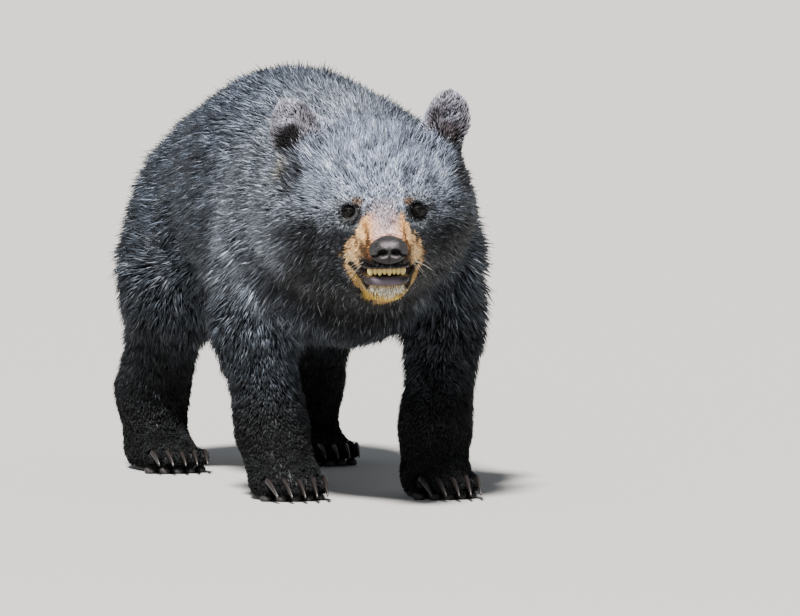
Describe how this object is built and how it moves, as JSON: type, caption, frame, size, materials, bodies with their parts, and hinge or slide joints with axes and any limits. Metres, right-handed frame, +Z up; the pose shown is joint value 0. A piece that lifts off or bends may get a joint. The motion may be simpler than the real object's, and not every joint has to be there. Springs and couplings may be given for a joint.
{
  "type": "american black bear figure",
  "caption": "Young American black bear, life size, standing on all fours with its head low and turned, lips parted over the upper teeth; black coat and tan muzzle",
  "frame": {"origin": "on the floor, midway along the length and across the width of the whole animal", "axes": "+Z up, -Y the way the bear faces, +X its left side"},
  "size_m": [0.417, 1.1222, 0.583],
  "materials": {
    "black_coat": "thick outer hair, black with a bluish sheen",
    "tan_coat": "short tan hair of the muzzle and chin",
    "bare_nose": "moist pebbled bare skin",
    "eye": "wet and glossy",
    "tooth": "yellowed enamel",
    "claw": "smooth dark horn"
  },
  "bodies": {
    "root": {"trunk": "black_coat", "foreleg_left": "black_coat", "forepaw_left": "black_coat", "claw_fore_left_1": "claw", "claw_fore_left_2": "claw", "claw_fore_left_3": "claw", "claw_fore_left_4": "claw", "claw_fore_left_5": "claw", "foreleg_right": "black_coat", "forepaw_right": "black_coat", "claw_fore_right_1": "claw", "claw_fore_right_2": "claw", "claw_fore_right_3": "claw", "claw_fore_right_4": "claw", "claw_fore_right_5": "claw", "hindleg_left": "black_coat", "hindpaw_left": "black_coat", "claw_hind_left_1": "claw", "claw_hind_left_2": "claw", "claw_hind_left_3": "claw", "claw_hind_left_4": "claw", "claw_hind_left_5": "claw", "hindleg_right": "black_coat", "hindpaw_right": "black_coat", "claw_hind_right_1": "claw", "claw_hind_right_2": "claw", "claw_hind_right_3": "claw", "claw_hind_right_4": "claw", "claw_hind_right_5": "claw", "tail": "black_coat", "neck": "black_coat", "head": "black_coat", "ear_left": "black_coat", "ear_right": "black_coat", "eye_left": "eye", "eye_right": "eye", "muzzle": "tan_coat", "jaw": "tan_coat", "nose": "bare_nose", "teeth": "tooth"}
  },
  "joints": []
}
